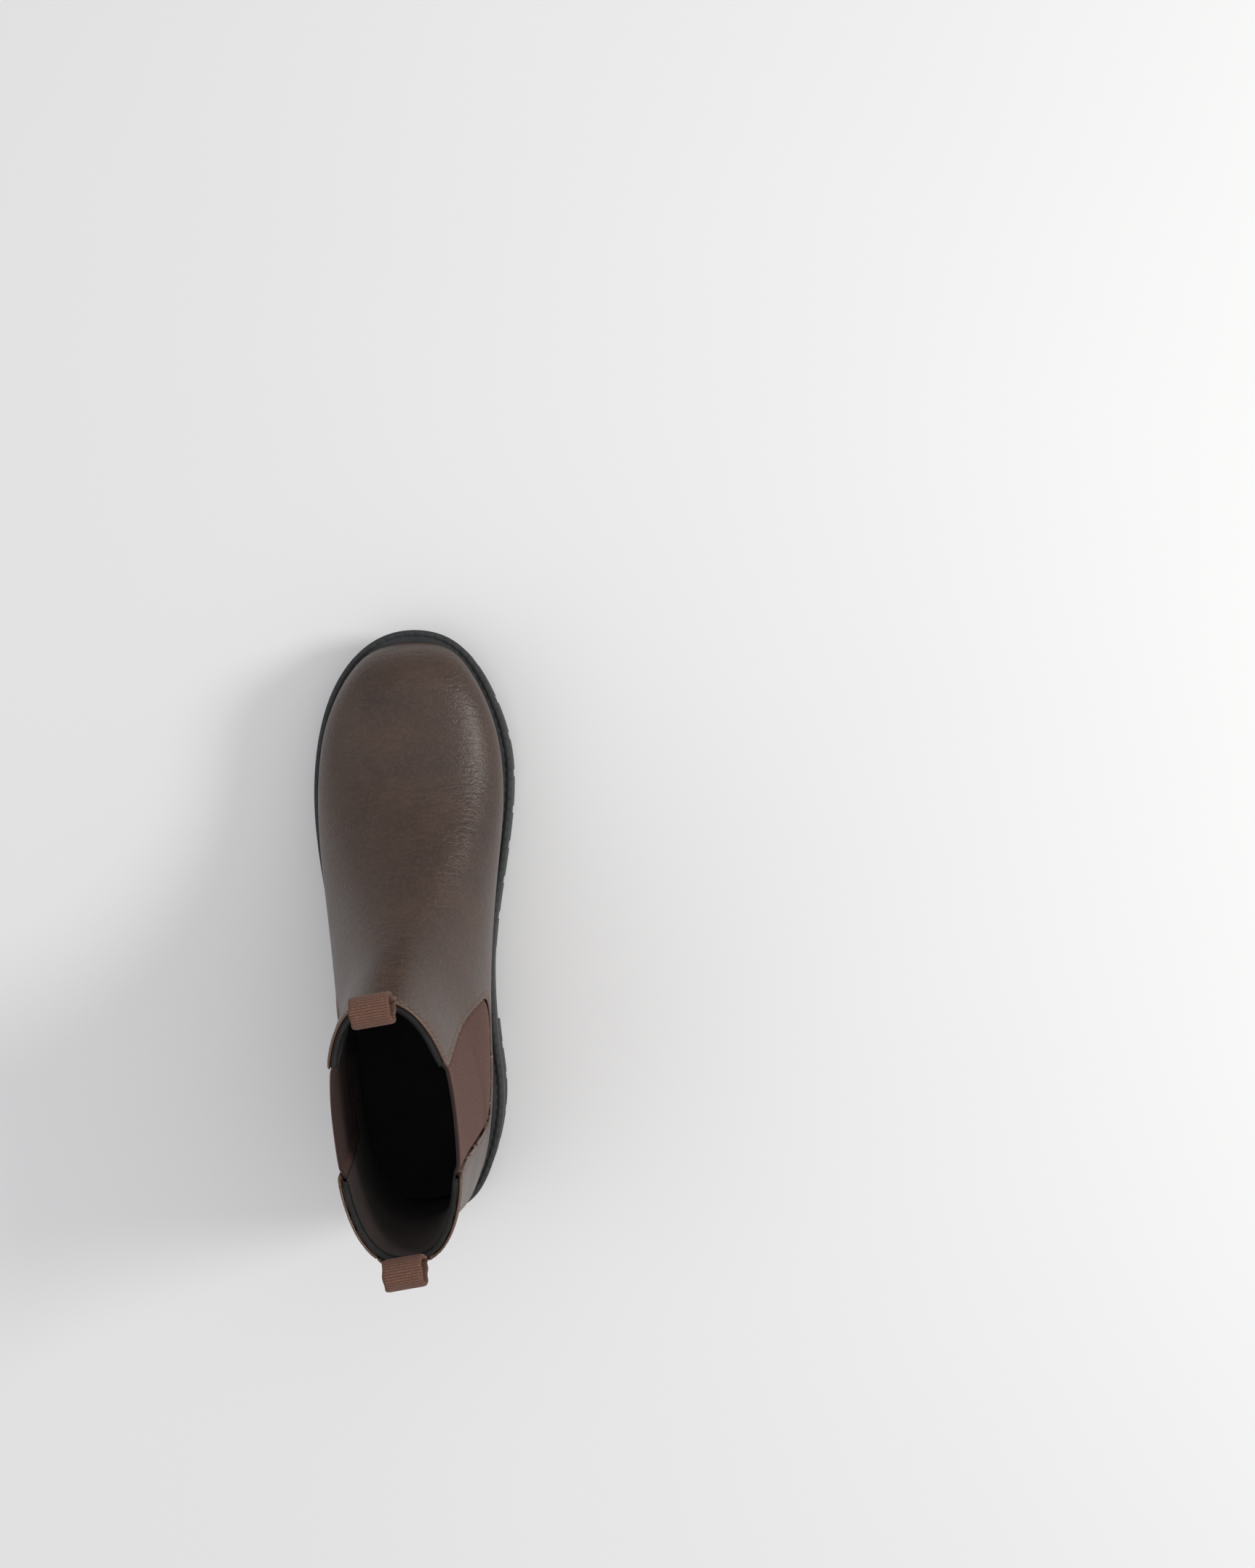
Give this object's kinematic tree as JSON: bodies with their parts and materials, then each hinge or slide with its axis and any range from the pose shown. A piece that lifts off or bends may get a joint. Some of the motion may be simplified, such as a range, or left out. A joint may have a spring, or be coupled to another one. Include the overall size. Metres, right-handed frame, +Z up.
{
  "type": "chelsea boot",
  "caption": "Left-foot chelsea boot: leather upper with elastic side gores, sprung ribbon pull loops at the front and back of the collar, and a chunky lugged rubber sole.",
  "frame": {"origin": "on the ground, under the middle of the outsole's length and width", "axes": "+Y to the toe, +X to the medial (inner) side of this left boot, +Z up"},
  "size_m": [0.1034, 0.3, 0.1929],
  "materials": {
    "heel_block": "matt, finely striated",
    "outsole": "matt, finely striated",
    "midsole": "matt, finely striated",
    "welt": "matt, finely striated",
    "forefoot_filler": "ground cork",
    "shank": "plain",
    "insole_board": "pressed fibre board",
    "footbed_foam": "open foam",
    "sock_liner": "matt textile",
    "vamp": "satin, pebbled grain",
    "quarter_lateral": "satin, pebbled grain",
    "quarter_medial": "satin, pebbled grain",
    "backstay": "satin, pebbled grain",
    "gore_lateral": "ribbed elastic weave",
    "gore_medial": "ribbed elastic weave",
    "vamp_lining": "matt textile",
    "quarter_lining": "brushed",
    "toe_puff": "thermoplastic sheet",
    "heel_counter": "thermoplastic sheet",
    "front_edge_tape": "matt textile",
    "back_edge_tape": "matt textile",
    "front_pull_loop": "grosgrain",
    "back_pull_loop": "grosgrain"
  },
  "bodies": {
    "boot": {"heel_block": "heel_block", "outsole": "outsole", "midsole": "midsole", "welt": "welt", "forefoot_filler": "forefoot_filler", "shank": "shank", "insole_board": "insole_board", "footbed_foam": "footbed_foam", "sock_liner": "sock_liner", "vamp": "vamp", "quarter_lateral": "quarter_lateral", "quarter_medial": "quarter_medial", "backstay": "backstay", "gore_lateral": "gore_lateral", "gore_medial": "gore_medial", "vamp_lining": "vamp_lining", "quarter_lining": "quarter_lining", "toe_puff": "toe_puff", "heel_counter": "heel_counter", "front_edge_tape": "front_edge_tape", "back_edge_tape": "back_edge_tape"},
    "front_pull": {"front_pull_loop": "front_pull_loop"},
    "back_pull": {"back_pull_loop": "back_pull_loop"}
  },
  "joints": [
    {"name": "front_pull_loop_hinge", "type": "hinge", "parent": "boot", "child": "front_pull", "pos_m": [0.0002, -0.0234, 0.1749], "axis": [0.9903, 0.1392, 0], "range_deg": [-50, 50], "stiffness_Nm_per_rad": 0.01},
    {"name": "back_pull_loop_hinge", "type": "hinge", "parent": "boot", "child": "back_pull", "pos_m": [0.0076, -0.139, 0.1566], "axis": [0.9903, 0.1392, 0], "range_deg": [-50, 50], "stiffness_Nm_per_rad": 0.01}
  ]
}
